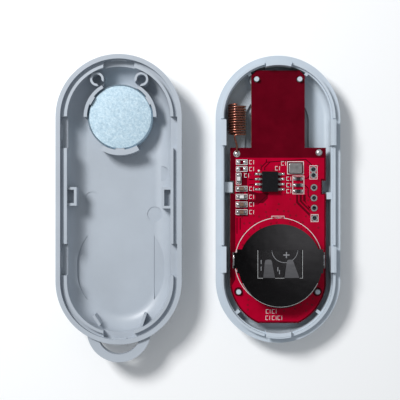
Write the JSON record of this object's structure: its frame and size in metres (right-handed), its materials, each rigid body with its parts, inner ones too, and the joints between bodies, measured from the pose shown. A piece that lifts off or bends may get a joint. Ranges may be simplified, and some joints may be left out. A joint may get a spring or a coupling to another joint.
{
  "type": "door contact sensor",
  "caption": "Small stadium-shaped snap case opened like a book: circuit board, coil antenna and coin cell in the base, round magnet and keyring loop in the cover.",
  "frame": {"origin": "centre of the base's flat back face", "axes": "+Z out of the open side of the base, +Y along the case towards the antenna end, cover lying open on the -X side"},
  "size_m": [0.0704, 0.0759, 0.0102],
  "materials": {
    "case_plastic": "satin moulded plastic",
    "board_red": "red solder mask over glass fibre",
    "solder_tin": "bright solder",
    "copper_wire": "enamelled copper",
    "chip_black": "moulded epoxy",
    "ceramic_dark": "fired ceramic",
    "crystal_metal": "pressed lid",
    "ceramic_tan": "fired ceramic",
    "ceramic_white": "fired ceramic",
    "retainer_steel": "dark plated spring steel",
    "reed_glass": "clear",
    "reed_alloy": "plain",
    "cell_steel": "stainless",
    "gasket_plastic": "plain",
    "lithium": "dull",
    "cathode_black": "pressed powder",
    "magnet_plating": "zinc plating"
  },
  "bodies": {
    "base": {"base_shell": "case_plastic", "circuit_board": "board_red", "plated_holes": "solder_tin", "antenna_coil": "copper_wire", "controller_chip": "chip_black", "controller_pins": "solder_tin", "crystal_base": "ceramic_dark", "crystal_can": "crystal_metal", "resistor_bodies": "chip_black", "resistor_terminals": "solder_tin", "capacitor_bodies": "ceramic_tan", "capacitor_terminals": "solder_tin", "inductor_bodies": "ceramic_white", "inductor_terminals": "solder_tin", "solder_joints": "solder_tin", "battery_retainer": "retainer_steel", "cell_contact": "solder_tin", "reed_glass": "reed_glass", "reed_blades": "reed_alloy"},
    "cover": {"cover_shell": "case_plastic", "magnet": "magnet_plating"},
    "cell": {"cell_can": "cell_steel", "cell_cap": "cell_steel", "cell_gasket": "gasket_plastic", "lithium_disc": "lithium", "separator": "gasket_plastic", "cathode_pellet": "cathode_black"}
  },
  "joints": [
    {"name": "cover_fold", "type": "hinge", "parent": "base", "child": "cover", "pos_m": [-0.0197, 0, 0.0075], "axis": [0, 1, 0], "range_deg": [0, 180]},
    {"name": "cell_slide", "type": "slide", "parent": "base", "child": "cell", "axis": [0, 1, 0], "range_m": [0, 0.007]}
  ]
}
